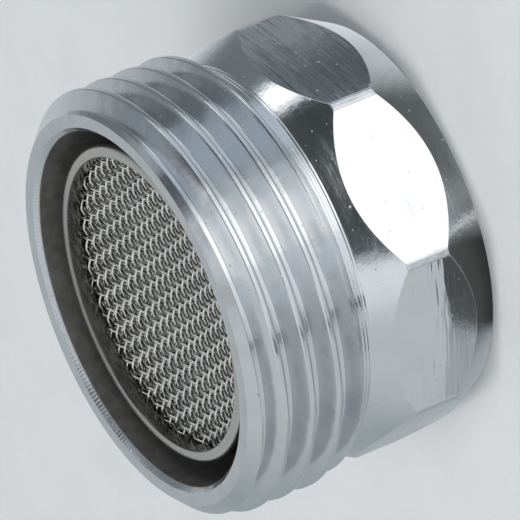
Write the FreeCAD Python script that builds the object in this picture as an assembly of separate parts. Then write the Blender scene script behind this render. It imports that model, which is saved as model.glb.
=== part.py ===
import FreeCAD, Part
import math
import os

os.makedirs("parts", exist_ok=True)

# Tap thread adapter, in millimetres, +Z up towards the male mouth.
# It stands on its female end, with one collar flat square to -Y.

# Overall sizes
overall_length = 17.2
male_crest_r = 13.22
female_minor_r = 10.46

# Male pipe thread, G 3/4: here the plain cylinder over its crests
male_thread_depth = 1.16
male_wall = 1.08
relief_depth = 0.08
relief_setback = 0.19
relief_width = 0.46
relief_round = 0.15
runout_angle = 50.0

# Male mouth
mouth_chamfer_width = 0.29
mouth_chamfer_depth = 0.29

# Octagonal collar, with flats turned slightly crowned
collar_sides = 8
collar_flat_inset = 0.68
collar_corner_rise = 0.80
collar_crown_r = 66.0
cone_half_angle = 27.5
land_bottom_z = 3.30
land_height = 2.77
back_edge_round = 0.25

# Female thread, M22 x 1: here the plain bore through its crests
female_chamfer = 0.66
female_groove_depth = 0.66
female_wall_top_z = 4.9

# Stack held between the female thread and the web
washer_thickness = 1.5
washer_width = 2.2
washer_squeeze_gap = 0.42
jet_plate_flange = 0.8
jet_plate_boss = 1.2
housing_flange = 1.0
insert_entry_gap = 0.11
web_thickness = 1.0
web_hole_gap = 0.15
web_edge_round = 0.15

# Insert housing
housing_flange_step = 0.55
housing_lip_width = 0.75
housing_wall = 0.40
housing_lip_drop = 1.0
housing_lip_height = 0.9
housing_shoulder_round = 0.40
housing_inner_round = 0.10
window_count = 6
window_width = 4.4
window_height = 2.6
window_rise = 0.5

# Jet plate holes, in rings from the outermost inwards
jet_hole_r = 0.5
jet_edge_wall = 1.26
jet_ring_spacing = 2.3
jet_ring_counts = (18, 12, 6)
jet_plate_gap = 0.04

# Screens and the ring that holds them
mesh_pitch = 0.73
mesh_wire = 0.18
screen_edge_gap = 0.03
screen_rim_width = 0.62
screen_dish = 0.70
outlet_screen_turn = 43.5
inner_screen_turn = 43.5
clamp_ring_height = 1.2
clamp_ring_wall = 0.60

# Radii worked out from the sizes
cone_slope = math.tan(math.radians(cone_half_angle))
male_root_r = male_crest_r - male_thread_depth
relief_r = male_root_r - relief_depth
mouth_bore_r = male_root_r - male_wall
mouth_face_inner_r = mouth_bore_r + mouth_chamfer_width
collar_flat_r = male_crest_r - collar_flat_inset
collar_corner_r = collar_flat_r + collar_corner_rise
female_groove_r = female_minor_r + female_groove_depth
insert_flange_r = female_minor_r - insert_entry_gap
housing_outer_r = insert_flange_r - housing_flange_step
housing_bore_r = housing_outer_r - housing_wall
housing_lip_bore_r = housing_outer_r - housing_lip_width
web_hole_r = housing_outer_r + web_hole_gap
washer_r = female_groove_r - washer_squeeze_gap

# Levels worked out from the sizes
land_top_z = land_bottom_z + land_height
front_cone_end_z = land_top_z + (collar_corner_r - male_root_r) / cone_slope
relief_bottom_z = front_cone_end_z + relief_setback
relief_top_z = relief_bottom_z + relief_width
washer_bottom_z = female_wall_top_z
washer_top_z = washer_bottom_z + washer_thickness
plate_top_z = washer_top_z + jet_plate_flange
web_bottom_z = plate_top_z + housing_flange
web_top_z = web_bottom_z + web_thickness
lip_z = overall_length - housing_lip_drop
ledge_z = lip_z - housing_lip_height
screen_thickness = 2 * mesh_wire


def point(r, z):
    return FreeCAD.Vector(r, 0, z)


def line(a, b):
    return Part.LineSegment(point(*a), point(*b)).toShape()


def rounded(corner, before, after, radius):
    """The two ends and the middle of the arc that rounds one corner of a section."""
    c = point(*corner)
    a = (point(*before) - c).normalize()
    b = (point(*after) - c).normalize()
    half = a.getAngle(b) / 2
    reach = radius / math.tan(half)
    middle = (a + b).normalize()
    deep = radius / math.sin(half) - radius
    return c + a * reach, c + middle * deep, c + b * reach


def turned(points, rounds=None):
    """A section in the XZ plane, with some corners rounded, turned about Z."""
    rounds = rounds or {}
    count = len(points)
    corners = []
    for i, p in enumerate(points):
        if i in rounds:
            corners.append(rounded(p, points[i - 1], points[(i + 1) % count], rounds[i]))
        else:
            corners.append((point(*p), None, point(*p)))
    edges = []
    for i, (start, middle, end) in enumerate(corners):
        if middle is not None:
            edges.append(Part.Arc(start, middle, end).toShape())
        following = corners[(i + 1) % count][0]
        edges.append(Part.LineSegment(end, following).toShape())
    return revolved(edges)


def revolved(edges):
    """A closed section turned about Z into an outward solid."""
    face = Part.Face(Part.Wire(edges))
    solid = face.revolve(FreeCAD.Vector(0, 0, 0), FreeCAD.Vector(0, 0, 1), 360)
    return solid if solid.Volume > 0 else solid.reversed()


def disc(r, bottom, height):
    return Part.makeCylinder(r, height, FreeCAD.Vector(0, 0, bottom))


def crowned_octagon(bottom, height):
    """The collar's prism: each flat is a shallow arc, and one of them faces -Y."""
    half = math.pi / collar_sides
    tangent = math.tan(half)
    centre = collar_flat_r - collar_crown_r
    a = 1 + tangent ** 2
    reach = (centre + math.sqrt(centre ** 2 - a * (centre ** 2 - collar_crown_r ** 2))) / a
    corner_r = reach / math.cos(half)
    edges = []
    for k in range(collar_sides):
        mid = -math.pi / 2 + 2 * half * k
        ends = []
        for turn, r in ((-half, corner_r), (0, collar_flat_r), (half, corner_r)):
            x = r * math.cos(mid + turn)
            y = r * math.sin(mid + turn)
            ends.append(FreeCAD.Vector(x, y, bottom))
        edges.append(Part.Arc(*ends).toShape())
    face = Part.Face(Part.Wire(edges))
    return face.extrude(FreeCAD.Vector(0, 0, height))


def adapter_body():
    runout = (male_crest_r - relief_r) / math.tan(math.radians(runout_angle))
    section = [
        (female_minor_r + female_chamfer, 0),
        (collar_corner_r - land_bottom_z * cone_slope, 0),
        (collar_corner_r, land_bottom_z),
        (collar_corner_r, land_top_z),
        (male_root_r, front_cone_end_z),
        (relief_r, relief_bottom_z),
        (relief_r, relief_top_z),
        (male_crest_r, relief_top_z + runout),
        (male_crest_r, overall_length - male_thread_depth),
        (male_root_r, overall_length),
        (mouth_face_inner_r, overall_length),
        (mouth_bore_r, overall_length - mouth_chamfer_depth),
        (mouth_bore_r, web_top_z),
        (web_hole_r, web_top_z),
        (web_hole_r, web_bottom_z),
        (female_groove_r, web_bottom_z),
        (female_groove_r, female_wall_top_z),
        (female_minor_r, female_wall_top_z),
        (female_minor_r, female_chamfer),
    ]
    rounds = {1: back_edge_round, 6: relief_round, 12: web_edge_round}
    blank = turned(section, rounds)
    prism_top = (relief_bottom_z + relief_top_z) / 2
    prism = crowned_octagon(-1, prism_top + 1)
    above = disc(collar_corner_r + male_crest_r, prism_top, overall_length)
    return blank.common(prism.fuse(above))


def sealing_washer():
    outer = disc(washer_r, washer_bottom_z, washer_thickness)
    return outer.cut(disc(washer_r - washer_width, washer_bottom_z, washer_thickness))


def insert_housing():
    section = [
        (housing_bore_r, plate_top_z),
        (insert_flange_r, plate_top_z),
        (insert_flange_r, web_bottom_z),
        (housing_outer_r, web_bottom_z),
        (housing_outer_r, lip_z),
        (housing_lip_bore_r, lip_z),
        (housing_lip_bore_r, ledge_z),
        (housing_bore_r, ledge_z),
    ]
    shell = turned(section, {4: housing_shoulder_round, 5: housing_inner_round})
    for k in range(window_count):
        slot = Part.makeBox(housing_outer_r + 1, window_width, window_height)
        slot.translate(FreeCAD.Vector(0, -window_width / 2, web_top_z + window_rise))
        slot.rotate(FreeCAD.Vector(0, 0, 0), FreeCAD.Vector(0, 0, 1), 360 / window_count * (k + 0.5))
        shell = shell.cut(slot)
    return shell


def jet_plate():
    boss_r = housing_bore_r - jet_plate_gap
    height = jet_plate_flange + jet_plate_boss
    plate = disc(insert_flange_r, washer_top_z, jet_plate_flange)
    plate = plate.fuse(disc(boss_r, washer_top_z, height)).removeSplitter()
    for ring, count in enumerate(jet_ring_counts):
        ring_r = boss_r - jet_edge_wall - jet_hole_r - ring * jet_ring_spacing
        for k in range(count):
            turn = 2 * math.pi * k / count
            centre = FreeCAD.Vector(ring_r * math.cos(turn), ring_r * math.sin(turn), washer_top_z)
            plate = plate.cut(Part.makeCylinder(jet_hole_r, height, centre))
    return plate


def mesh_prism(open_r, rim_r, bottom, height):
    """An upright disc with the weave's square openings, as far out as the flat rim."""
    half = (mesh_pitch - mesh_wire) / 2
    reach = math.ceil(open_r / mesh_pitch)
    wires = [Part.Wire(Part.makeCircle(rim_r, FreeCAD.Vector(0, 0, bottom)))]
    for i in range(-reach, reach + 1):
        for j in range(-reach, reach + 1):
            x, y = i * mesh_pitch, j * mesh_pitch
            if math.hypot(abs(x) + half, abs(y) + half) > open_r:
                continue
            corners = [(x - half, y - half), (x + half, y - half), (x + half, y + half), (x - half, y + half)]
            ring = [FreeCAD.Vector(a, b, bottom) for a, b in corners]
            wires.append(Part.makePolygon(ring + ring[:1]))
    face = Part.makeFace(wires, "Part::FaceMakerCheese")
    return face.extrude(FreeCAD.Vector(0, 0, height))


def screen(top_z, turn):
    """A woven disc: flat rim under the ledge, dished middle with square openings."""
    outer = housing_bore_r - screen_edge_gap
    start = outer - screen_rim_width
    under = top_z - screen_thickness
    mid = start / 2
    sphere_r = (start ** 2 + screen_dish ** 2) / (2 * screen_dish)
    sag = sphere_r - math.sqrt(sphere_r ** 2 - mid ** 2)
    low = top_z - screen_dish
    bottom = low - screen_thickness
    edges = [
        line((0, bottom), (0, low)),
        Part.Arc(point(0, low), point(mid, low + sag), point(start, top_z)).toShape(),
        line((start, top_z), (outer, top_z)),
        line((outer, top_z), (outer, under)),
        line((outer, under), (start, under)),
        Part.Arc(point(start, under), point(mid, bottom + sag), point(0, bottom)).toShape(),
    ]
    woven = revolved(edges).common(mesh_prism(start, outer + 1, bottom - 1, top_z - bottom + 2))
    woven.rotate(FreeCAD.Vector(0, 0, 0), FreeCAD.Vector(0, 0, 1), turn)
    return woven


def clamp_ring():
    base = ledge_z - 2 * screen_thickness - clamp_ring_height
    outer = disc(housing_bore_r, base, clamp_ring_height)
    return outer.cut(disc(housing_bore_r - clamp_ring_wall, base, clamp_ring_height))


nodes = {
    "adapter_body": adapter_body(),
    "sealing_washer": sealing_washer(),
    "insert_housing": insert_housing(),
    "jet_plate": jet_plate(),
    "outlet_screen": screen(ledge_z, outlet_screen_turn),
    "inner_screen": screen(ledge_z - screen_thickness, inner_screen_turn),
    "clamp_ring": clamp_ring(),
}

for name, shape in nodes.items():
    box = shape.BoundBox
    print(name, shape.isValid(), len(shape.Solids), round(shape.Volume, 2),
          round(box.XLength, 3), round(box.YLength, 3), round(box.ZMin, 3), round(box.ZMax, 3))
    shape.exportStep("parts/" + name + ".step")
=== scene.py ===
import math

import bmesh
import bpy
import numpy as np
from bpy.props import FloatProperty, FloatVectorProperty, IntProperty, PointerProperty
from mathutils import Matrix, Vector


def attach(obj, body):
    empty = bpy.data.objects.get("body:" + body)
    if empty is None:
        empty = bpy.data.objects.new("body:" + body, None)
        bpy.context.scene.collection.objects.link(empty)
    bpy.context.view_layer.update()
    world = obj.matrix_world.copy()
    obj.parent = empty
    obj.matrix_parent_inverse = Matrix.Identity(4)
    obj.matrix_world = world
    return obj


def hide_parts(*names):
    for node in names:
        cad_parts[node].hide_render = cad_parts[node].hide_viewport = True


bl_info = {
    "name": "Tap Thread Adapter",
    "version": (1, 0, 0),
    "blender": (4, 5, 0),
    "location": "View3D > Sidebar > Adapter",
    "description": "Builds a chromed tap thread adapter with its mesh outlet insert",
    "category": "Object",
}

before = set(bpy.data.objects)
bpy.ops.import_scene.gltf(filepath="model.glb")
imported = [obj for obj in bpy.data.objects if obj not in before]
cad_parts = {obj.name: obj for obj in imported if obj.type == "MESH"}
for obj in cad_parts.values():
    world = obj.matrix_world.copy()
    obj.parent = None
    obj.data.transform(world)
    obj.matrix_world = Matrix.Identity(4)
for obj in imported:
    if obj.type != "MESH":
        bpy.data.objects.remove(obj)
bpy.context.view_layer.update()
MM = 0.001
MICRON = 0.000001
SLOPE = math.tan(math.radians(27.5))  # of the collar's cones and the male flanks
MALE_TURN = math.radians(62.5)  # by which a male crest's edge turns
RELIEF_SLOPE = math.tan(math.radians(50.0))
FEMALE_SLOPE = math.tan(math.radians(30.0))
GROOVE_MOUTH, GROOVE_FLOOR = 0.374, 0.0625  # half widths of a female groove, in pitches
WEAVE_SHIFT = np.array([0.485, 0.465])  # where the woven wires lie, in wire spacings


def length(name, description, millimetres):
    """A length property in metres, written here in millimetres."""
    return FloatProperty(name=name, description=description, default=millimetres * MM,
                         unit="LENGTH", precision=5, min=0.0)


def angle(name, description, degrees):
    """An angle property in radians, written here in degrees."""
    return FloatProperty(name=name, description=description, default=math.radians(degrees),
                         subtype="ANGLE")


def colour(name, description, default):
    """A linear colour property."""
    return FloatVectorProperty(name=name, description=description, default=default,
                               subtype="COLOR", size=3, min=0.0, max=1.0)


def share(name, description, default):
    """A plain number from nought to one."""
    return FloatProperty(name=name, description=description, default=default,
                         subtype="FACTOR", min=0.0, max=1.0)


class BodySizes(bpy.types.PropertyGroup):
    """Sizes of the turned brass body."""
    overall: length("Overall length", "From the female end to the male mouth", 17.2)
    back_r: length("Back end radius", "Where the rear cone would meet the end", 11.622)
    back_round: length("Back edge round", "Round on the edge of the female end", 0.25)
    corner_r: length("Corner radius", "Over the collar's corners", 13.34)
    flat_r: length("Flat radius", "From the axis to the middle of a flat", 12.54)
    crown_r: length("Crown radius", "Of the shallow arc across a flat", 78.0)
    land_high: length("Corner end", "Height at which the front cone leaves a corner", 6.07)
    edge_round: length("Collar edge round", "Between a cone and a flat", 0.10)
    relief_r: length("Relief radius", "Of the groove behind the male thread", 11.98)
    relief_low: length("Relief start", "Height at which the groove starts", 8.72)
    relief_high: length("Relief end", "Height at which the groove ends", 9.18)
    crest_r: length("Male crest radius", "Over the male thread", 13.22)
    root_r: length("Male root radius", "Under the male thread", 12.06)
    pitch: length("Male pitch", "Advance of the male thread in a turn", 1.814)
    crest_round: length("Male crest round", "On the edges of the crests", 0.14)
    root_round: length("Male root round", "In the corners of the roots", 0.09)
    crest_level: length("Crest level", "Height of a crest on the side that faces -Y", 13.672)
    face_r: length("Mouth face radius", "Inner edge of the flat ring at the mouth", 11.27)
    mouth_depth: length("Mouth chamfer", "Depth of the chamfer inside the mouth", 0.29)
    bore_r: length("Mouth bore radius", "Of the male end's bore", 10.98)
    web_high: length("Web top", "Height of the web's upper side", 9.2)
    web_low: length("Web bottom", "Height of the web's lower side", 8.2)
    web_r: length("Web hole radius", "Of the hole that the insert passes through", 9.95)
    groove_r: length("Female groove radius", "Of the groove above the female thread", 11.12)
    groove_low: length("Female groove start", "Height at which the female thread ends", 4.9)
    minor_r: length("Female minor radius", "Inside the female thread", 10.46)
    major_r: length("Female major radius", "On the floor of the female thread", 11.0)
    female_pitch: length("Female pitch", "Advance of the female thread in a turn", 1.0)


class InsertSizes(bpy.types.PropertyGroup):
    """Sizes of the outlet insert and the washer."""
    flange_r: length("Flange radius", "Outside of the insert's flange", 10.35)
    flange_low: length("Flange bottom", "Height of its lower side", 7.2)
    flange_high: length("Flange top", "Height of its upper side", 8.2)
    barrel_r: length("Barrel radius", "Outside of the barrel", 9.8)
    lip_z: length("Lip height", "Height of the lip's top", 16.2)
    lip_r: length("Lip bore radius", "Inside of the lip", 9.05)
    ledge_z: length("Ledge height", "Height of the ledge over the screens", 15.3)
    bore_r: length("Barrel bore radius", "Inside of the barrel", 9.4)
    shoulder: length("Shoulder round", "On the outside of the lip", 0.40)
    inner_round: length("Inner round", "On the inside of the lip", 0.10)
    windows: IntProperty(name="Air windows", description="How many", default=6, min=2)
    window_width: length("Window width", "Width of an air window", 4.4)
    window_low: length("Window bottom", "Height of its lower edge", 9.7)
    window_high: length("Window top", "Height of its upper edge", 12.3)
    mesh_pitch: length("Mesh pitch", "From one wire to the next", 0.7625)
    cross_pitch: length("Cross pitch", "From one crossing wire to the next", 0.6816)
    skew: angle("Mesh skew", "Angle between the two sets of wires", 86.18)
    turn: angle("Mesh turn", "Turn of both weaves round the axis", 49.44)
    wire: length("Wire diameter", "Thickness of the woven wire", 0.16)
    wave: length("Weave height", "Rise of a wire over the sheet's middle", 0.09)
    layer: length("Screen spacing", "From the outer screen's top to the inner one's", 0.36)
    screen_r: length("Screen radius", "Outside of a screen", 9.37)
    rim: length("Screen rim", "Width of its flat rim", 0.62)
    dish: length("Screen dish", "How far its middle is pushed in", 0.70)
    washer_r: length("Washer radius", "Outside of the rubber washer", 10.7)
    washer_bore_r: length("Washer bore radius", "Inside of the washer", 8.5)
    washer_low: length("Washer bottom", "Height of its lower side", 4.9)
    washer_high: length("Washer top", "Height of its upper side", 6.4)
    washer_round: length("Washer edge round", "On its edges", 0.15)


class Finish(bpy.types.PropertyGroup):
    """Colours and finishes."""
    chrome: colour("Chrome", "Colour of the plating", (0.70, 0.72, 0.74))
    chrome_rough: share("Chrome roughness", "Roughness of the plating", 0.12)
    bore: colour("Bore", "Colour of the thinly plated bore", (0.15, 0.144, 0.138))
    sleeve_rough: share("Sleeve roughness", "Roughness of the insert's sleeve", 0.26)
    sleeve: colour("Insert steel", "Colour of the insert's sleeve", (0.60, 0.578, 0.545))
    plate: colour("Plate plastic", "Colour of the jet plate and ring", (0.20, 0.19, 0.175))
    steel: colour("Steel wire", "Colour of the woven wire", (0.80, 0.785, 0.755))
    rubber: colour("Washer rubber", "Colour of the washer", (0.025, 0.025, 0.025))
    floor: colour("Floor", "Colour of the floor", (0.80, 0.80, 0.80))


class StudioView(bpy.types.PropertyGroup):
    """Where the camera stands."""
    azimuth: angle("Azimuth", "Turn of the camera round the object; 0 looks along +Y", -6.89)
    elevation: angle("Elevation", "How far the camera looks down", 24.62)
    roll: angle("Roll", "Turn of the picture", 112.2)
    distance: length("Distance", "From the camera to the middle of the object", 523.84)
    lens: FloatProperty(name="Lens", description="Focal length in millimetres on a 36 mm sensor",
                        default=623.08, min=1.0)


def section(corners, rounds, columns, arc_cells=5):
    """A section whose corners may change round the axis.

    Each corner is a (radius, height) pair of numbers or of arrays over the columns. A corner with a
    round r becomes the curve A(1-t)^2 + 2Ct(1-t) + Bt^2, where C is the corner and A and B lie
    r tan(turn / 2) before and after it. The rows come back as an array (rows, columns, 2).
    """
    points = np.stack([np.stack(np.broadcast_arrays(r, z, np.zeros(columns))[:2], -1)
                       for r, z in corners])
    before = np.roll(points, 1, 0) - points
    after = np.roll(points, -1, 0) - points
    before_length = np.linalg.norm(before, axis=-1, keepdims=True)
    after_length = np.linalg.norm(after, axis=-1, keepdims=True)
    before = before / before_length
    after = after / after_length
    opening = np.arccos(np.clip((before * after).sum(-1), -1, 1))[..., None]
    radii = np.array([rounds.get(i, 0.0) for i in range(len(corners))])[:, None, None]
    reach = radii / np.tan(np.maximum(opening, 1e-3) / 2)
    reach = np.minimum(reach, 0.45 * np.minimum(before_length, after_length))
    t = np.linspace(0, 1, arc_cells + 1)[:, None, None]
    rows = []
    for i in range(len(corners)):
        if i not in rounds:
            rows.append(points[i][None])
            continue
        start = points[i] + before[i] * reach[i]
        end = points[i] + after[i] * reach[i]
        rows.append(start * (1 - t) ** 2 + 2 * points[i] * t * (1 - t) + end * t ** 2)
    return np.concatenate(rows)


def around(rows, angles):
    """Sections turned about Z: the point (r cos a, r sin a, z) for each column's angle a."""
    r, z = rows[..., 0], rows[..., 1]
    return np.stack([r * np.cos(angles), r * np.sin(angles), z], -1)


def quads(count_rows, count_columns, wrap_rows, wrap_columns, shift=0):
    """Vertex numbers of a grid's cells. The last column may join the first one shift rows higher."""
    i = np.arange(count_rows if wrap_rows else count_rows - 1)
    j = np.arange(count_columns if wrap_columns else count_columns - 1)
    i, j = np.meshgrid(i, j, indexing="ij")
    low = np.where(j == count_columns - 1, i + shift, i)
    j_next = (j + 1) % count_columns
    row = np.stack([i, i + 1, low + 1, low], -1)
    if wrap_rows:
        row = row % count_rows
    column = np.stack([j, j, j_next, j_next], -1)
    return (row * count_columns + column)[(row < count_rows).all(-1)]


def piece(name, sheets, sharp_degrees=32.0):
    """One closed mesh from several grids of points.

    Each sheet is (points, quads). Points that coincide are merged and each quad is split in two;
    what has no area is dropped, and the faces are turned outward.
    """
    points, triangles, offset = [], [], 0
    for grid, cells in sheets:
        points.append(grid.reshape(-1, 3))
        cells = cells.reshape(-1, 4) + offset
        triangles += [cells[:, [0, 1, 2]], cells[:, [0, 2, 3]]]
        offset += len(points[-1])
    points = np.concatenate(points)
    same = 2e-8  # points nearer than this are one
    _, first, merged = np.unique(np.round(points / same).astype(np.int64), axis=0,
                                 return_index=True, return_inverse=True)
    points = points[first]
    triangles = merged.reshape(-1)[np.concatenate(triangles)]
    a, b, c = triangles.T
    triangles = triangles[(a != b) & (b != c) & (c != a)]
    mesh = bpy.data.meshes.new(name)
    mesh.vertices.add(len(points))
    mesh.vertices.foreach_set("co", points.astype(np.float32).ravel())
    mesh.loops.add(triangles.size)
    mesh.loops.foreach_set("vertex_index", triangles.astype(np.int32).ravel())
    mesh.polygons.add(len(triangles))
    mesh.polygons.foreach_set("loop_start", np.arange(0, triangles.size, 3, dtype=np.int32))
    mesh.update(calc_edges=True)
    mesh.validate()
    work = bmesh.new()
    work.from_mesh(mesh)
    bmesh.ops.recalc_face_normals(work, faces=work.faces)
    work.to_mesh(mesh)
    work.free()
    mesh.polygons.foreach_set("use_smooth", np.ones(len(mesh.polygons), dtype=bool))
    mesh.set_sharp_from_angle(angle=math.radians(sharp_degrees))
    return add_object(name, mesh)


def add_object(name, data):
    """A new object in the scene."""
    obj = bpy.data.objects.new(name, data)
    bpy.context.scene.collection.objects.link(obj)
    return obj


def male_corners(sizes):
    """Where the male thread's rounds start and end: from the crest's middle, and from the root's."""
    crest = sizes.pitch / 4 - (sizes.crest_r - sizes.root_r) / 2 * SLOPE
    ends = []
    for size in (sizes.crest_round, sizes.root_round):
        start = crest - size * math.tan(MALE_TURN / 2)
        ends += [start, start + size * math.sin(MALE_TURN)]
    return ends


def male_radius(distance, sizes):
    """Radius of the male thread at a distance along the axis from a crest.

    Crest and root are short flats, and circles round their corners into the flanks.
    """
    flat_end, flank_start, root_start, root_end = male_corners(sizes)
    x = np.abs((distance + sizes.pitch / 2) % sizes.pitch - sizes.pitch / 2)
    y = sizes.pitch / 2 - x
    flank = (sizes.crest_r + sizes.root_r) / 2 + (sizes.pitch / 4 - x) / SLOPE
    bend = np.sqrt(np.maximum(sizes.crest_round ** 2 - np.maximum(x - flat_end, 0) ** 2, 0))
    dip = np.sqrt(np.maximum(sizes.root_round ** 2 - np.maximum(y - root_start, 0) ** 2, 0))
    crest = sizes.crest_r - sizes.crest_round + bend
    root = sizes.root_r + sizes.root_round - dip
    return np.where(x < flank_start, crest, np.where(y < root_end, root, flank))


def snap_rows(z, difference):
    """Moves the nearer of two rows onto the height between them where a difference changes sign."""
    g = difference(z)
    change = (g[:-1] * g[1:]) < 0
    t = np.where(change, g[:-1] / np.where(change, g[:-1] - g[1:], 1), 0)
    cross = z[:-1] + (z[1:] - z[:-1]) * t
    out = z.copy()
    out[:-1] = np.where(change & (t < 0.5), cross, out[:-1])
    out[1:] = np.where(change & (t >= 0.5), cross, out[1:])
    return out


def octagon_columns(sizes, cells=40, sides=8):
    """Angles round the collar, with two close columns at each corner, and the flats' radius there.

    It is c cos a + sqrt(R^2 - c^2 sin^2 a): R is the crown radius and c the flat's radius less R.
    """
    c = sizes.flat_r - sizes.crown_r
    cosine = (sizes.corner_r ** 2 + c ** 2 - sizes.crown_r ** 2) / (2 * sizes.corner_r * c)
    edge = math.acos(min(1.0, cosine))
    across = np.linspace(-edge, edge, cells + 1)
    middles = -math.pi / 2 + math.tau * np.arange(sides) / sides
    angles = (middles[:, None] + across[None, :]).ravel()
    radius = c * np.cos(across) + np.sqrt(sizes.crown_r ** 2 - (c * np.sin(across)) ** 2)
    return angles, np.tile(radius, sides)


def build_body():
    """The body as sections turned about Z: outside, male thread, inside, female thread.

    A thread's rows climb one pitch a turn, so the last column joins the first one a turn higher.
    Its radius is the profile at the height over the climbing crest, cut by the chamfers.
    """
    sizes = bpy.context.scene.body_sizes
    angles, flats = octagon_columns(sizes)
    columns = len(angles)
    cut_low = (flats - sizes.back_r) / SLOPE
    cut_high = sizes.land_high + (sizes.corner_r - flats) / SLOPE
    cone_end = sizes.land_high + (sizes.corner_r - sizes.root_r) / SLOPE

    # Male thread, with its lead-in chamfer and the wall of the relief groove
    def limit(z):
        return np.minimum(sizes.root_r + (sizes.overall - z),
                          sizes.relief_r + (z - sizes.relief_high) * RELIEF_SLOPE)

    turned = (angles + math.pi / 2) / math.tau
    flat_end, flank_start, root_start, root_end = male_corners(sizes)
    half = sizes.pitch / 2
    arc = np.sin(np.linspace(0, MALE_TURN, 6))
    crest_arc = flat_end + sizes.crest_round * arc
    root_arc = half - root_start - sizes.root_round * arc[::-1]
    flank = np.linspace(flank_start, half - root_end, 4)
    falling = np.concatenate([crest_arc[:-1], flank[:-1], root_arc])
    profile = np.concatenate([[0.0], falling, [half], sizes.pitch - falling[::-1]])
    climb = sizes.crest_level + sizes.pitch * turned
    rows = (np.arange(-4, 4)[:, None] * sizes.pitch + profile).reshape(-1, 1)
    z = np.clip(rows + climb, sizes.relief_high, sizes.overall)
    z = snap_rows(z, lambda h: male_radius(h - climb, sizes) - limit(h))
    thread = np.stack([np.minimum(male_radius(z - climb, sizes), limit(z)), z], -1)

    # Female thread, cut from inside, with its chamfer
    pitch = sizes.female_pitch
    female_profile = np.array([-GROOVE_MOUTH, -GROOVE_FLOOR, GROOVE_FLOOR, GROOVE_MOUTH]) * pitch
    female_climb = pitch * turned

    def female_radius(h):
        x = np.abs((h - female_climb + pitch / 2) % pitch - pitch / 2)
        depth = (GROOVE_MOUTH * pitch - x) / FEMALE_SLOPE
        return np.clip(sizes.minor_r + depth, sizes.minor_r, sizes.major_r)

    def chamfer(h):
        return sizes.groove_r - h

    rows = (np.arange(-1, 7)[:, None] * pitch + female_profile).reshape(-1, 1)
    z = np.clip(rows + female_climb, 0.0, sizes.groove_low)
    z = snap_rows(z, lambda h: female_radius(h) - chamfer(h))
    female = np.stack([np.maximum(female_radius(z), chamfer(z)), z], -1)

    # The plain parts, outside and inside. The last corner of each only gives the one before it
    # its direction, and is dropped
    edge = sizes.edge_round
    outside = section([
        (sizes.groove_r, 0.0),
        (sizes.back_r, 0.0),
        (flats, cut_low),
        (flats, cut_high),
        (sizes.root_r, cone_end),
        (sizes.relief_r, sizes.relief_low),
        (sizes.relief_r, sizes.relief_high),
        (sizes.relief_r - 0.5 * MM, sizes.relief_high),
    ], {1: sizes.back_round, 2: edge, 3: edge, 4: 0.1 * MM, 5: 0.1 * MM}, columns)[:-1]
    inside = section([
        (sizes.root_r, sizes.overall),
        (sizes.face_r, sizes.overall),
        (sizes.bore_r, sizes.overall - sizes.mouth_depth),
        (sizes.bore_r, sizes.web_high),
        (sizes.web_r, sizes.web_high),
        (sizes.web_r, sizes.web_low),
        (sizes.groove_r, sizes.web_low),
        (sizes.groove_r, sizes.groove_low),
        (sizes.minor_r - 1 * MM, sizes.groove_low),
    ], {1: 0.05 * MM, 2: 0.05 * MM, 3: 0.2 * MM, 4: 0.1 * MM, 5: 0.1 * MM}, columns)[:-1]
    inside = np.concatenate([inside, female[-1:]])
    sheets = [(around(rows, angles), quads(len(rows), columns, False, True, shift))
              for rows, shift in ((outside, 0), (thread, len(profile)),
                                  (inside, 0), (female, len(female_profile)))]
    return piece("adapter_body", sheets, 14.5)


def build_washer():
    """The washer: a rectangle with rounded corners, turned about Z."""
    sizes = bpy.context.scene.insert_sizes
    columns = 160
    angles = np.linspace(0, math.tau, columns, endpoint=False)
    rows = section([
        (sizes.washer_bore_r, sizes.washer_low),
        (sizes.washer_r, sizes.washer_low),
        (sizes.washer_r, sizes.washer_high),
        (sizes.washer_bore_r, sizes.washer_high),
    ], {i: sizes.washer_round for i in range(4)}, columns)
    return piece("sealing_washer", [(around(rows, angles), quads(len(rows), columns, True, True))])


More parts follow.
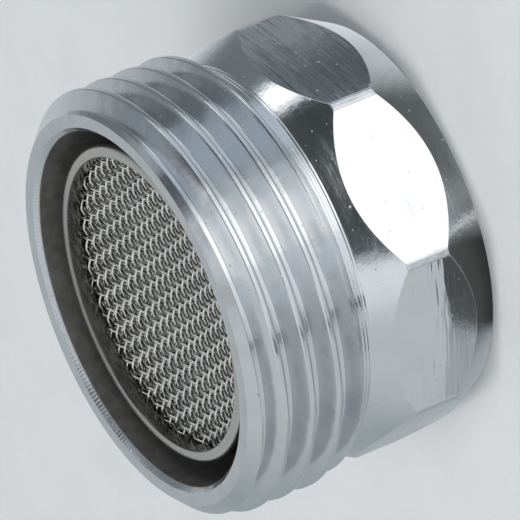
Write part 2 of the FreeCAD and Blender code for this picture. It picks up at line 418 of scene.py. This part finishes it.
def build_housing():
    """The insert's barrel: a turned ring with air windows, whose cells are left out and walled."""
    sizes = bpy.context.scene.insert_sizes
    half = math.asin(sizes.window_width / 2 / sizes.barrel_r)
    pitch = math.tau / sizes.windows
    window_cells, wall_cells = 10, 22
    cells_each = window_cells + wall_cells
    across = np.concatenate([np.linspace(-half, half, window_cells, endpoint=False),
                             np.linspace(half, pitch - half, wall_cells, endpoint=False)])
    angles = (pitch * (np.arange(sizes.windows) + 0.5)[:, None] + across[None, :]).ravel()
    columns = len(angles)
    arc = 6
    rows = section([
        (sizes.bore_r, sizes.flange_low),
        (sizes.flange_r, sizes.flange_low),
        (sizes.flange_r, sizes.flange_high),
        (sizes.barrel_r, sizes.flange_high),
        (sizes.barrel_r, sizes.window_low),
        (sizes.barrel_r, sizes.window_high),
        (sizes.barrel_r, sizes.lip_z),
        (sizes.lip_r, sizes.lip_z),
        (sizes.lip_r, sizes.ledge_z),
        (sizes.bore_r, sizes.ledge_z),
        (sizes.bore_r, sizes.window_high),
        (sizes.bore_r, sizes.window_low),
    ], {6: sizes.shoulder, 7: sizes.inner_round}, columns, arc)
    outer_low, outer_high = 4, 5
    inner_high, inner_low = 10 + 2 * arc, 11 + 2 * arc
    cells = quads(len(rows), columns, True, True)
    row, column = cells[:, 0] // columns, cells[:, 0] % columns
    gone = (column % cells_each < window_cells) & ((row == outer_low) | (row == inner_high))
    points = around(rows, angles)
    sheets = [(points, cells[~gone])]
    for k in range(sizes.windows):
        span = np.arange(k * cells_each, k * cells_each + window_cells + 1) % columns
        for a, b in ((outer_low, inner_low), (outer_high, inner_high)):
            strip = np.stack([points[a, span], points[b, span]])
            sheets.append((strip, quads(2, len(span), False, False)))
        for c in (span[0], span[-1]):
            strip = np.stack([points[[outer_low, outer_high], c], points[[inner_low, inner_high], c]])
            sheets.append((strip, quads(2, 2, False, False)))
    return piece("insert_housing", sheets)


def wires(across, along, shift, sign, steps, sides, level):
    """One family of woven wires, each a tube along a wavy line on the dish.

    Wire j runs through the points (j + shift[0]) across + s along, and crosses the other family
    where s - shift[1] is whole. Its height is the dish's height there, and sign times
    wave cos(pi (s - shift[1]) + pi j). The tube's rings stand across the wire.
    """
    sizes = bpy.context.scene.insert_sizes
    wave, radius = sign * sizes.wave, sizes.screen_r - 0.03 * MM
    step = np.linalg.norm(along)
    reach = int(radius / np.linalg.norm(across)) + 2
    j = np.arange(-reach, reach + 1)
    span = int(radius / step) + 3
    s = np.arange(-steps * span, steps * span + 1) / steps + shift[1]
    direction = along / step
    normal = np.array([-direction[1], direction[0]])
    start = (j + shift[0])[:, None] * across
    offset = start @ normal
    keep = np.abs(offset) < radius - sizes.wire
    j, start, offset = j[keep], start[keep] @ direction, offset[keep]
    run = start[:, None] + s[None, :] * step
    half = np.sqrt(radius ** 2 - offset ** 2)[:, None]
    here = np.clip(run, -half, half)
    phase = math.pi * ((here - start[:, None]) / step - shift[1] + j[:, None])
    height = level(np.hypot(here, offset[:, None])) + wave * np.cos(phase)
    slope = -wave * math.pi / step * np.sin(phase)
    flat = 1 / np.sqrt(1 + slope ** 2)
    ring = np.linspace(0, math.tau, sides, endpoint=False)
    thick = np.where(np.abs(run) >= half, 0.0, sizes.wire / 2)[..., None]
    lift = thick * np.sin(ring)
    forward = here[..., None] - lift * (slope * flat)[..., None]
    aside = offset[:, None, None] + thick * np.cos(ring)
    z = height[..., None] + lift * flat[..., None]
    points = np.stack([forward * direction[0] + aside * normal[0],
                       forward * direction[1] + aside * normal[1], z], -1)
    count, rings = points.shape[:2]
    cells = quads(rings, sides, False, True)
    return points, cells[None] + np.arange(count)[:, None, None] * (rings * sides)


def build_screen(name, top, steps, sides):
    """One woven screen: two families of wires, pulled a little askew when the sheet was pressed.

    Inside its flat rim it is a sphere's cap: height = bottom + R - sqrt(R^2 - r^2) at a distance r.
    """
    sizes = bpy.context.scene.insert_sizes
    start = sizes.screen_r - sizes.rim
    sphere = (start ** 2 + sizes.dish ** 2) / (2 * sizes.dish)
    bottom = top - sizes.wave - sizes.wire / 2 - sizes.dish

    def level(distance):
        return bottom + sphere - np.sqrt(sphere ** 2 - np.minimum(distance, start) ** 2)

    # One over the pitch, across each family of wires, and the steps that follow from it
    bearings = np.array([sizes.turn, sizes.turn + sizes.skew])
    pitches = np.array([[sizes.mesh_pitch], [sizes.cross_pitch]])
    one, other = np.linalg.inv(np.stack([np.cos(bearings), np.sin(bearings)], -1) / pitches).T
    return piece(name, [wires(one, other, WEAVE_SHIFT, 1.0, steps, sides, level),
                        wires(other, one, WEAVE_SHIFT[::-1], -1.0, steps, sides, level)], 60.0)


def tint(base, factor):
    """A colour made darker or lighter."""
    return [min(c * factor, 1) for c in base]


# The colour sockets of a Mix node, which share their names with those for its other kinds
MIX_FIRST, MIX_SECOND, MIX_RESULT = 6, 7, 2


class Nodes:
    """A short way to fill a node tree."""

    def __init__(self, tree):
        self.tree = tree

    def add(self, kind, inputs=None, **settings):
        node = self.tree.nodes.new("ShaderNode" + kind)
        for key, value in settings.items():
            setattr(node, key, value)
        for key, value in (inputs or {}).items():
            self.put(node.inputs[key], value)
        return node

    def put(self, socket, value):
        if isinstance(value, bpy.types.NodeSocket):
            self.tree.links.new(value, socket)
        else:
            socket.default_value = value

    def maths(self, operation, *values):
        return self.add("Math", dict(enumerate(values)), operation=operation).outputs[0]

    def times(self, first, *others):
        """The product of its values."""
        for value in others:
            first = self.maths("MULTIPLY", first, value)
        return first

    def more(self, total, value, amount):
        """A total with an amount of a value added to it."""
        return self.maths("MULTIPLY_ADD", value, amount, total)

    def vector(self, operation, *values, output=0):
        node = self.add("VectorMath", dict(enumerate(values)), operation=operation)
        return node.outputs[output]

    def join(self, **parts):
        return self.add("CombineXYZ", parts).outputs[0]

    def split(self, vector):
        return self.add("SeparateXYZ", {0: vector}).outputs

    def group(self, tree, inputs=None):
        return self.add("Group", inputs, node_tree=tree).outputs

    def noise(self, vector, scale, **inputs):
        return self.add("TexNoise", {"Vector": vector, "Scale": scale, **inputs}).outputs["Fac"]

    def millimetres(self):
        """The Object coordinates in millimetres."""
        where = self.add("TexCoord").outputs["Object"]
        return self.add("VectorMath", {0: where, "Scale": 1 / MM}, operation="SCALE").outputs[0]

    def blend(self, mask, first, second):
        """From the first colour to the second one as the mask rises from nought to one."""
        first, second = (c if isinstance(c, bpy.types.NodeSocket) else (*c, 1)
                         for c in (first, second))
        node = self.add("Mix", {"Factor": mask}, data_type="RGBA")
        self.put(node.inputs[MIX_FIRST], first)
        self.put(node.inputs[MIX_SECOND], second)
        return node.outputs[MIX_RESULT]

    def shades(self, mask, base, low, high):
        """From one tint of a colour to another as the mask rises."""
        return self.blend(mask, tint(base, low), tint(base, high))

    def fit(self, value, low, high, to_low=0.0, to_high=1.0, smooth=False):
        """A value carried from one range to another, and kept inside it."""
        return self.add("MapRange", {
            "Value": value, "From Min": low, "From Max": high, "To Min": to_low, "To Max": to_high,
        }, interpolation_type="SMOOTHSTEP" if smooth else "LINEAR").outputs["Result"]

    def surface(self, shader, height, rough, tone, **normal):
        """Puts bumps, with their height in micrometres, a roughness and a colour on a shader."""
        bump = self.add("Bump", {"Strength": 1.0, "Distance": MICRON, "Height": height, **normal})
        self.put(shader.inputs["Normal"], bump.outputs[0])
        self.put(shader.inputs["Roughness"], rough)
        self.put(shader.inputs["Base Color"], tone)


def material(name, metallic=0.0):
    """An empty material with a Principled shader, and a way to add to it."""
    mat = bpy.data.materials.new(name)
    mat.use_nodes = True
    tree = mat.node_tree
    tree.nodes.clear()
    nodes = Nodes(tree)
    shader = nodes.add("BsdfPrincipled", {"Metallic": metallic})
    nodes.add("OutputMaterial", {0: shader.outputs[0]})
    return mat, nodes, shader


def shared_group(name, inputs, outputs):
    """Makes a function that fills a node group into one that makes the group once.

    A socket's default also gives its kind: a number, a vector or a colour.
    """
    def wrap(fill):
        def get():
            if name in bpy.data.node_groups:
                return bpy.data.node_groups[name]
            tree = bpy.data.node_groups.new(name, "ShaderNodeTree")
            for way, sockets in (("INPUT", inputs), ("OUTPUT", outputs)):
                for key, default in sockets.items():
                    kind = {1: "Float", 3: "Vector", 4: "Color"}[np.size(default)]
                    tree.interface.new_socket(key, in_out=way, socket_type="NodeSocket" + kind
                                              ).default_value = default
            fill(Nodes(tree), tree.nodes.new("NodeGroupInput").outputs,
                 tree.nodes.new("NodeGroupOutput").inputs)
            return tree
        return get
    return wrap


@shared_group("round_place", {}, {"Radius": 0, "Height": 0, "Angle": 0})
def place_group(nodes, _, result):
    """Where a point lies, in millimetres: its distance from Z, its height and its angle round Z."""
    x, y, z = nodes.split(nodes.millimetres())
    nodes.put(result["Radius"], nodes.vector("LENGTH", nodes.join(X=x, Y=y), output=1))
    nodes.put(result["Height"], z)
    nodes.put(result["Angle"], nodes.maths("ARCTAN2", y, x))


@shared_group("ring_marks", {"Width": 0.15, "Length": 6.0}, {"Fine": 0, "Wide": 0, "Scratches": 0})
def rings_group(nodes, given, result):
    """Marks that run round Z, as tools and brushes leave them: fine ones, wide ones and scratches.

    Noise over (x / length, y / length, (z + 0.6 min(r, 12.4)) / width), so that a mark keeps its
    height on cylinders, cones and the collar's flats, and its radius on flat ends.
    """
    where = nodes.group(place_group())
    level = nodes.more(where["Height"], nodes.maths("MINIMUM", where["Radius"], 12.4), 0.6)
    level = nodes.maths("DIVIDE", level, given["Width"])
    x, y = (nodes.maths("DIVIDE", part, given["Length"])
            for part in nodes.split(nodes.millimetres())[:2])
    for key, scale in (("Fine", 1.0), ("Wide", 0.28)):
        spot = nodes.join(X=x, Y=y, Z=nodes.times(level, scale))
        marks = nodes.noise(spot, 1.0, Detail=2.0, Roughness=0.6)
        nodes.put(result[key], nodes.maths("SUBTRACT", marks, 0.5))
    lines = nodes.noise(nodes.join(X=x, Y=y, Z=nodes.times(level, 0.8)), 1.7, Detail=1.0)
    nodes.put(result["Scratches"], nodes.fit(lines, 0.66, 0.72))


@shared_group("grain", {"Size": 1.0, "Speck Spacing": 0.7, "Speck Size": 0.05},
              {"Patches": 0, "Specks": 0})
def grain_group(nodes, given, result):
    """Uneven patches and small specks, both from nought to one, at sizes in millimetres."""
    spot = nodes.millimetres()
    patches = nodes.noise(spot, nodes.maths("DIVIDE", 1.0, given["Size"]), Detail=5.0, Roughness=0.6)
    nodes.put(result["Patches"], nodes.fit(patches, 0.32, 0.68))
    cells = nodes.add("TexVoronoi", {
        "Vector": spot, "Scale": nodes.maths("DIVIDE", 1.0, given["Speck Spacing"])}).outputs
    reach = nodes.maths("DIVIDE", given["Speck Size"], given["Speck Spacing"])
    # Each cell's own colour picks how large its speck is, so that most cells have hardly any
    red = nodes.add("SeparateColor", {0: cells["Color"]}).outputs[0]
    size = nodes.times(reach, nodes.fit(red, 0.35, 1.0, 0.0, 1.6))
    excess = nodes.maths("SUBTRACT", size, cells["Distance"])
    nodes.put(result["Specks"], nodes.fit(nodes.maths("DIVIDE", excess, reach), 0.0, 0.5))


def chrome_material():
    """Chrome plate over turned brass: marks round the axis, specks, a satin bore, chamfer chatter.

    Radii and heights are in millimetres, angles in radians and bumps in micrometres.
    """
    finish = bpy.context.scene.finish
    sizes = bpy.context.scene.body_sizes
    top, back, corner = sizes.overall / MM, sizes.back_r / MM, sizes.corner_r / MM
    face, bore = sizes.face_r / MM, sizes.bore_r / MM
    mat, nodes, shader = material("chromed_brass")
    fit, times, more = nodes.fit, nodes.times, nodes.more
    where = nodes.group(place_group())
    radius, level, turn = where["Radius"], where["Height"], where["Angle"]
    rings = nodes.group(rings_group(), {"Width": 0.17, "Length": 4.5})
    grain = nodes.group(grain_group(), {"Size": 2.6, "Speck Spacing": 0.55, "Speck Size": 0.065})
    patches, specks = grain["Patches"], grain["Specks"]
    dents = nodes.group(grain_group(), {"Size": 0.8})["Patches"]

    def near(middle, outer, inner):
        """One near an angle round the axis, and nought further from it than the outer distance."""
        return fit(nodes.maths("ABSOLUTE", nodes.maths("SUBTRACT", turn, middle)), outer, inner)

    in_bore = times(fit(radius, bore + 0.17, bore + 0.10), fit(level, top - 0.22, top - 0.36))
    on_collar = times(fit(level, 9.0, 8.6), fit(radius, 11.3, 11.5))
    on_chamfer = times(fit(radius, face + 0.02, face), fit(level, top - 0.32, top - 0.28))
    on_thread = fit(level, 9.0, 9.6)
    in_relief = times(fit(level, 8.48, 8.60), fit(level, 9.34, 9.24), fit(radius, 11.5, 11.6))
    on_edges = times(on_collar, fit(radius, corner - 0.045, corner - 0.025))
    # The collar's flats lie inside both cones and inside the corners
    rear = more(back, level, SLOPE)
    front = more((sizes.corner_r + sizes.land_high * SLOPE) / MM, level, -SLOPE)
    inside = nodes.maths("MINIMUM", nodes.maths("MINIMUM", rear, front), corner - 0.015)
    on_flat = fit(nodes.maths("SUBTRACT", inside, radius), 0.01, 0.04)
    # Two flats and half of the one at -X are polished, and the rest brushed
    strokes = times(on_flat, fit(turn, -1.20, -1.12))

    # Bumps: rings, specks, dents, slow waves on the thread, chatter, and ridges in the relief
    amount = more(more(1.3, on_collar, fit(level, 6.0, 6.6, 5.6, 2.2)), strokes, 9.0)
    amount = times(amount, fit(patches, 0.0, 1.0, 0.25, 1.3))
    height = more(times(rings["Fine"], amount), rings["Wide"], times(amount, 2.4))
    height = more(height, specks, 6.0)
    height = more(height, dents, more(5.0, on_edges, 21.0))
    waves = nodes.noise(nodes.millimetres(), 0.75, Detail=0.0)
    height = more(height, waves, times(on_thread, 32.0))
    chatter = nodes.maths("SINE", more(times(dents, 3.0), turn, 290.0))
    height = more(height, times(chatter, on_chamfer, 9.0), patches)
    ridges = nodes.maths("SINE", times(level, math.tau / 0.21))
    height = more(height, ridges, times(in_relief, 8.0))

    # One flat was polished away a little at its rear edge, in strips, and one worn corner leans
    strips = more(more(level, rings["Fine"], 3.8), rings["Wide"], 2.2)
    strips = nodes.maths("SUBTRACT", strips, fit(turn, -2.18, -1.97, 0.0, 0.6))
    polished = times(fit(strips, 4.25, 3.40, smooth=True), on_flat, near(math.radians(-135), 0.40, 0.36))
    worn_corner = math.radians(-67.5)
    worn = times(fit(radius, 13.275, 13.29), near(worn_corner, 0.05, 0.04), on_collar, 0.2)
    lean = nodes.join(X=times(worn, math.sin(worn_corner)), Y=times(worn, -math.cos(worn_corner)),
                      Z=times(polished, -0.24))
    normal = nodes.add("NewGeometry").outputs["Normal"]
    normal = nodes.vector("NORMALIZE", nodes.vector("ADD", normal, lean))

    rough = fit(patches, 0.0, 1.0, finish.chrome_rough * 0.8, finish.chrome_rough * 1.25)
    rough = more(rough, rings["Wide"], 0.12)
    scratched = times(rings["Scratches"], on_flat, 0.6)
    rough = more(rough, nodes.maths("MAXIMUM", specks, scratched), 0.28)
    rough = more(nodes.maths("MAXIMUM", rough, 0.05), in_bore, 0.30)
    rough = more(more(rough, on_edges, 0.20), on_thread, 0.06)

    tone = nodes.shades(patches, finish.chrome, 0.97, 1.03)
    tone = nodes.blend(times(specks, 0.35), tone, (0.9, 0.92, 0.94))
    brushed = times(fit(rings["Fine"], -0.04, 0.20), fit(patches, 0.2, 0.6), strokes, 0.85)
    tone = nodes.blend(brushed, tone, tint(finish.chrome, 0.45))
    stained = nodes.shades(dents, finish.bore, 0.75, 1.25)
    nodes.put(shader.inputs["Metallic"], more(1.0, in_bore, -0.7))
    nodes.surface(shader, height, rough, nodes.blend(in_bore, tone, stained), Normal=normal)
    return mat


def sleeve_material():
    """Drawn steel: faintly brushed round the lip, dull, and darker on the walls, where painted shade is
    put into its colour.
    """
    finish = bpy.context.scene.finish
    sizes = bpy.context.scene.insert_sizes
    lip_r, lip_z = sizes.lip_r / MM, sizes.lip_z / MM
    mat, nodes, shader = material("insert_steel", 1.0)
    where = nodes.group(place_group())
    rings = nodes.group(rings_group(), {"Width": 0.09, "Length": 5.0})
    grain = nodes.group(grain_group(), {"Size": 1.1, "Speck Spacing": 0.8, "Speck Size": 0.05})
    patches = grain["Patches"]
    # Masks of the lip's inner wall and of the walls below the lip's top, which get painted shade
    inner = nodes.fit(where["Radius"], lip_r + 0.10, lip_r + 0.03)
    outer = nodes.fit(where["Height"], lip_z - 0.25, lip_z - 0.55)
    height = nodes.more(nodes.times(grain["Specks"], -3.0), rings["Fine"], 1.2)
    rough = nodes.fit(patches, 0.0, 1.0, finish.sleeve_rough * 0.85, finish.sleeve_rough * 1.2)
    # Painted shade: the walls take a copy of the steel's colour darkened to about a quarter or a third
    tone = nodes.blend(nodes.maths("MAXIMUM", inner, outer),
                       nodes.shades(patches, finish.sleeve, 0.96, 1.03),
                       nodes.shades(patches, finish.sleeve, 0.22, 0.36))
    nodes.surface(shader, height, nodes.more(rough, inner, -0.12), tone)
    return mat


def wire_material(name, shade_factor):
    """Drawn wire, a little stained where the grain says so. The inner screen's wire is painted darker, as
    shade under the outer screen.
    """
    mat, nodes, shader = material(name, 1.0)
    grain = nodes.group(grain_group(), {"Size": 1.4, "Speck Spacing": 0.4, "Speck Size": 0.05})
    tone = nodes.shades(grain["Patches"], bpy.context.scene.finish.steel, shade_factor * 0.95, shade_factor * 1.2)
    nodes.surface(shader, nodes.times(grain["Specks"], 3.0),
                  nodes.fit(grain["Patches"], 0.0, 1.0, 0.07, 0.14), tone)
    return mat


def moulded_material(name, base, rough, grain_mm, depth, dust, uneven=0.15):
    """A moulded part: fine skin, a trace of dust, and roughness in broad patches."""
    mat, nodes, shader = material(name)
    grain = nodes.group(grain_group(), {"Size": grain_mm, "Speck Spacing": 0.5, "Speck Size": 0.035})
    broad = nodes.group(grain_group(), {"Size": grain_mm * 12})["Patches"]
    tone = nodes.shades(broad, base, 1 - uneven, 1 + uneven)
    dusty = [min(c + dust, 1) for c in base]
    nodes.surface(shader, nodes.times(grain["Patches"], depth),
                  nodes.fit(broad, 0.0, 1.0, rough * 0.85, rough * 1.15),
                  nodes.blend(nodes.times(grain["Specks"], 0.5), tone, dusty))
    return mat


def card_material():
    """The shade beside the base that only reflections see, clear further out."""
    mat, nodes, shader = material("shade_card")
    nodes.put(shader.inputs["Base Color"], (0.093, 0.092, 0.087, 1))
    nodes.put(shader.inputs["Roughness"], 0.9)
    where = nodes.group(place_group())
    degrees = nodes.times(where["Angle"], 180 / math.pi)
    mask = nodes.times(nodes.fit(where["Radius"], 19.0, 12.5, smooth=True),
                       nodes.fit(degrees, -148.0, -141.0, smooth=True),
                       nodes.fit(degrees, -110.0, -116.0, smooth=True))
    clear = nodes.add("BsdfTransparent")
    mix = nodes.add("MixShader", {0: mask, 1: clear.outputs[0], 2: shader.outputs[0]})
    out = next(node for node in mat.node_tree.nodes if node.bl_idname == "ShaderNodeOutputMaterial")
    nodes.put(out.inputs[0], mix.outputs[0])
    return mat


def dress(obj, mat, node):
    """Gives a piece its material and ties it to the frame."""
    obj.data.materials.clear()
    obj.data.materials.append(mat)
    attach(obj, "root")
    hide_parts(node)


class ADAPTER_OT_body(bpy.types.Operator):
    """Build the turned and chromed body"""
    bl_idname = "adapter.body"
    bl_label = "Body"

    def execute(self, context):
        dress(build_body(), chrome_material(), "adapter_body")
        return {"FINISHED"}


class ADAPTER_OT_insert(bpy.types.Operator):
    """Build the insert's barrel, and give the jet plate and the ring their material"""
    bl_idname = "adapter.insert"
    bl_label = "Insert"

    def execute(self, context):
        dress(build_housing(), sleeve_material(), "insert_housing")
        plate = moulded_material("plate_plastic", context.scene.finish.plate, 0.42, 0.12, 4.0, 0.25)
        for node in ("jet_plate", "clamp_ring"):
            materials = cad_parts[node].data.materials
            materials.clear()
            materials.append(plate)
        return {"FINISHED"}


class ADAPTER_OT_screens(bpy.types.Operator):
    """Weave the two wire screens"""
    bl_idname = "adapter.screens"
    bl_label = "Screens"

    def execute(self, context):
        sizes = context.scene.insert_sizes
        outlet = build_screen("outlet_screen", sizes.ledge_z, 8, 8)
        dress(outlet, wire_material("steel_mesh", 1.0), "outlet_screen")
        inner = build_screen("inner_screen", sizes.ledge_z - sizes.layer, 6, 6)
        # Its colour is dimmed to 0.8: painted shade under the outer screen
        dress(inner, wire_material("shaded_inner_steel_mesh", 0.8), "inner_screen")
        return {"FINISHED"}


class ADAPTER_OT_washer(bpy.types.Operator):
    """Build the rubber washer"""
    bl_idname = "adapter.washer"
    bl_label = "Washer"

    def execute(self, context):
        rubber = moulded_material("washer_rubber", context.scene.finish.rubber, 0.62, 0.10, 6.0, 0.20)
        dress(build_washer(), rubber, "sealing_washer")
        return {"FINISHED"}


def camera_axes(view):
    """The camera's right, up and forward directions in the object's frame."""
    forward = Vector((-math.sin(view.azimuth) * math.cos(view.elevation),
                      math.cos(view.azimuth) * math.cos(view.elevation),
                      -math.sin(view.elevation)))
    level_right = forward.cross(Vector((0, 0, 1))).normalized()
    level_up = level_right.cross(forward)
    right = level_right * math.cos(view.roll) - level_up * math.sin(view.roll)
    up = level_right * math.sin(view.roll) + level_up * math.cos(view.roll)
    return right, up, forward


@shared_group("studio_card", {
    "Place": (0, 0, 0), "Centre": (0, 0, 0), "Across": (1, 0, 0), "Along": (0, 1, 0), "Half Width": 1,
    "Half Height": 1, "Softness": 1, "Under": (0, 0, 0, 1), "Card": (1, 1, 1, 1)}, {"Color": (0, 0, 0, 1)})
def card_group(nodes, given, result):
    """A soft-edged card on the map of directions round the camera.

    With d the place on the map less the card's centre, turned with the card, the mask falls from one
    to nought over the softness, where max(|d.x| - half width, |d.y| - half height) crosses zero.
    """
    place = nodes.vector("SUBTRACT", given["Place"], given["Centre"])
    excess = []
    for axis, size in (("Across", "Half Width"), ("Along", "Half Height")):
        run = nodes.maths("ABSOLUTE", nodes.vector("DOT_PRODUCT", place, given[axis], output=1))
        excess.append(nodes.maths("SUBTRACT", run, given[size]))
    edge = nodes.maths("DIVIDE", nodes.maths("MAXIMUM", *excess), given["Softness"])
    mask = nodes.fit(edge, 0.5, -0.5, smooth=True)
    nodes.put(result["Color"], nodes.blend(mask, given["Under"], given["Card"]))


# The light where no card is, and the cards round the object, the backmost first. Each has its
# centre, counted from the camera to the camera's right and up, its turn, half width, half height
# and softness, all in degrees, and its light in red, green and blue
ROOM = (0.612, 0.640, 0.656)
CARDS = [
    ("floor behind", 148, -79, -47, 56.8, 85.1, 21.8, (0.395, 0.434, 0.465)),
    ("far left", -104, 24, 0, 21.2, 89.7, 42.5, (0.401, 0.441, 0.463)),
    ("low dusk", -47, -143, -9, 134.8, 47.2, 60.0, (0.375, 0.423, 0.431)),
    ("top left room", -112, 101, -5, 23.8, 35.9, 18.5, (0.699, 0.744, 0.779)),
    ("dark top", -29, 80, 12, 87.6, 37.0, 26.5, (0.178, 0.206, 0.221)),
    ("dark top right", -6, 118, -34, 34.7, 10.6, 7.5, (0.120, 0.134, 0.148)),
    ("grey top", -22, 140, -49, 29.2, 12.6, 7.7, (0.291, 0.327, 0.337)),
    ("right rear light", 39, 152, -20, 22.5, 32.1, 31.2, (0.749, 0.778, 0.806)),
    ("right rear dark", 82, 67, 15, 20.4, 36.4, 35.6, (0.131, 0.142, 0.141)),
    ("right dark", 115, -9, 19, 14.7, 41.8, 34.3, (0.090, 0.093, 0.094)),
    ("right low dusk", 90, -52, 10, 10, 20, 10, (0.45, 0.49, 0.51)),
    ("right low dark", 94, -37, 10, 8, 9, 9, (0.085, 0.09, 0.092)),
    ("right rear haze", 109, 9, 23, 10.5, 11.5, 11.2, (0.190, 0.204, 0.208)),
    ("right glint", 113, 22, 22, 12, 1.4, 3.0, (1.0, 1.0, 1.0)),
    ("blue left", -90, 19, -3, 20.2, 17.6, 13.7, (0.241, 0.273, 0.302)),
    ("left dark", -54, 8, 51, 28.5, 20.4, 8.7, (0.098, 0.109, 0.126)),
    ("left spot", -63, -18, 24, 10.6, 11.9, 7.0, (0.919, 0.949, 0.980)),
    ("upper left spot", -79, 27.5, -16, 5.0, 5.2, 4.5, (1.15, 1.17, 1.19)),
    ("middle top", 12, 84, -61, 19.7, 32.1, 12.1, (0.567, 0.647, 0.730)),
    ("upper box", -38, 62, 20, 15, 11.0, 9, (1.75, 1.79, 1.83)),
    ("blue box", -9, 83, 8, 11.8, 11.5, 6.8, (0.553, 0.597, 0.643)),
    ("box glow", 23, 13, 36, 65.0, 38.0, 21.8, (0.875, 0.924, 0.965)),
    ("main box", 25, 29, 14, 35.0, 16.5, 10, (1.50, 1.49, 1.47)),
    ("box edge", 48, -27.7, 15, 24, 2.8, 4, (0.02, 0.025, 0.03)),
    ("camera", -21, 18, 26, 13.5, 43.6, 10.4, (0.062, 0.071, 0.073)),
    ("lower haze", -27, -20, 20, 21.2, 5.7, 13.0, (0.438, 0.461, 0.474)),
]


def build_world(axes):
    """The studio as an azimuthal map of directions about the camera's place, in degrees.

    A direction that makes the angle a with the one towards the camera lies a degrees from the
    map's middle, the same way that it leans in the camera's picture.
    """
    world = bpy.data.worlds.new("studio")
    bpy.context.scene.world = world
    world.use_nodes = True
    world.node_tree.nodes.clear()
    nodes = Nodes(world.node_tree)
    direction = nodes.add("TexCoord").outputs["Generated"]
    right, up, forward = axes
    ahead = nodes.vector("DOT_PRODUCT", direction, tuple(-forward), output=1)
    away = nodes.times(nodes.maths("ARCCOSINE", ahead), 180 / math.pi)
    lean = nodes.maths("SUBTRACT", 1.0, nodes.times(ahead, ahead))
    lean = nodes.maths("SQRT", nodes.maths("MAXIMUM", lean, 1e-6))
    stretch = nodes.maths("DIVIDE", away, lean)
    place = nodes.join(**{
        key: nodes.times(nodes.vector("DOT_PRODUCT", direction, tuple(axis), output=1), stretch)
        for key, axis in (("X", right), ("Y", up))})
    total = (*ROOM, 1)
    for name, x, y, turn, half_width, half_height, softness, light in CARDS:
        cosine, sine = math.cos(math.radians(turn)), math.sin(math.radians(turn))
        card = nodes.add("Group", {
            "Place": place, "Centre": (x, y, 0), "Across": (cosine, sine, 0),
            "Along": (-sine, cosine, 0), "Half Width": half_width, "Half Height": half_height,
            "Softness": softness, "Under": total, "Card": (*light, 1),
        }, node_tree=card_group(), label=name)
        total = card.outputs["Color"]
    background = nodes.add("Background", {"Color": total})
    nodes.add("OutputWorld", {0: background.outputs[0]})


def flat_square(name, low, high, height, mat):
    """A level square for the stage."""
    mesh = bpy.data.meshes.new(name)
    mesh.from_pydata([(low, low, height), (high, low, height), (high, high, height), (low, high, height)],
                     [], [(0, 1, 2, 3)])
    mesh.materials.append(mat)
    return add_object(name, mesh)


class ADAPTER_OT_stage(bpy.types.Operator):
    """Set up the floor, the light and the camera"""
    bl_idname = "adapter.stage"
    bl_label = "Stage"

    def execute(self, context):
        scene = context.scene
        view = scene.studio_view
        plain = moulded_material("floor", scene.finish.floor, 0.8, 0.5, 12.0, 0.0, 0.015)
        floor = flat_square("floor", -3, 3, 0, plain)
        floor.visible_glossy = False
        card = flat_square("shade_card", -24 * MM, 0, 0.1 * MM, card_material())
        for ray in ("camera", "diffuse", "shadow", "transmission", "volume_scatter"):
            setattr(card, "visible_" + ray, False)
        right, up, forward = camera_axes(view)
        build_world((right, up, forward))
        lamp_data = bpy.data.lights.new("overhead lamp", "AREA")
        lamp_data.shape = "DISK"
        lamp_data.size = 0.5
        lamp_data.energy = 3.0
        lamp = add_object("overhead lamp", lamp_data)
        lamp.location = (-0.15, -0.25, 0.8)
        lamp.rotation_euler = Vector(lamp.location).to_track_quat("Z", "Y").to_euler()
        lamp.visible_glossy = False
        camera_data = bpy.data.cameras.new("camera")
        camera_data.sensor_width = 36.0
        camera_data.lens = view.lens
        camera_data.clip_start = 0.01
        camera = add_object("camera", camera_data)
        centre = Vector((0, 0, scene.body_sizes.overall / 2))
        camera.matrix_world = Matrix.Translation(centre - forward * view.distance) @ Matrix(
            (right, up, -forward)).transposed().to_4x4()
        scene.camera = camera
        scene.view_settings.view_transform = "Standard"
        return {"FINISHED"}


class ADAPTER_PT_panel(bpy.types.Panel):
    """Builds each piece"""
    bl_idname = "ADAPTER_PT_panel"
    bl_label = "Tap Thread Adapter"
    bl_space_type = "VIEW_3D"
    bl_region_type = "UI"
    bl_category = "Adapter"

    def draw(self, context):
        for operator in OPERATORS:
            self.layout.operator(operator.bl_idname)
        for name, kind in GROUPS.items():
            box = self.layout.box()
            box.label(text=kind.__doc__)
            for key in kind.__annotations__:
                box.prop(getattr(context.scene, name), key)


OPERATORS = (ADAPTER_OT_body, ADAPTER_OT_insert, ADAPTER_OT_screens, ADAPTER_OT_washer,
             ADAPTER_OT_stage)
GROUPS = {"body_sizes": BodySizes, "insert_sizes": InsertSizes, "finish": Finish,
          "studio_view": StudioView}


def register():
    for kind in (*GROUPS.values(), *OPERATORS, ADAPTER_PT_panel):
        bpy.utils.register_class(kind)
    for name, kind in GROUPS.items():
        setattr(bpy.types.Scene, name, PointerProperty(type=kind))


def unregister():
    for name in GROUPS:
        delattr(bpy.types.Scene, name)
    for kind in reversed((*GROUPS.values(), *OPERATORS, ADAPTER_PT_panel)):
        bpy.utils.unregister_class(kind)


def main():
    register()
    bpy.ops.adapter.body()
    bpy.ops.adapter.insert()
    bpy.ops.adapter.screens()
    bpy.ops.adapter.washer()
    bpy.ops.adapter.stage()


if __name__ == "__main__":
    main()
